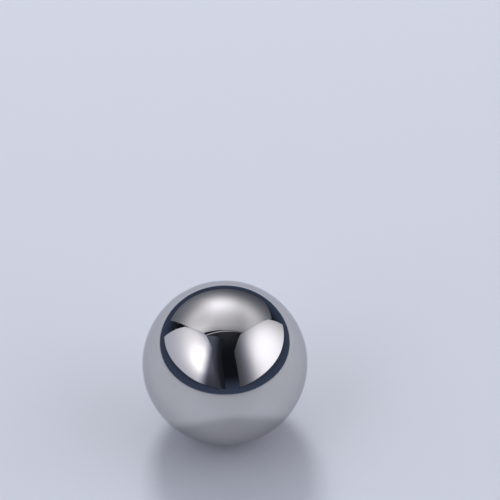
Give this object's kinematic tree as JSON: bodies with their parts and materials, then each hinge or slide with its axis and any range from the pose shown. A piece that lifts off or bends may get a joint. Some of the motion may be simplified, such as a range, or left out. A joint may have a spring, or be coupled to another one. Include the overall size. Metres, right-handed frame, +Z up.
{
  "type": "steel ice ball",
  "caption": "Sealed round steel ball with a mirror polish, frozen and dropped into a drink to chill it without thinning it.",
  "frame": {"origin": "centre of the ball", "axes": "+Z up, along the axis through the filling plug, which is at the bottom"},
  "size_m": [0.055, 0.055, 0.055],
  "materials": {
    "polished_steel": "mirror-polished stainless steel"
  },
  "bodies": {
    "root": {"ball": "polished_steel"}
  },
  "joints": []
}
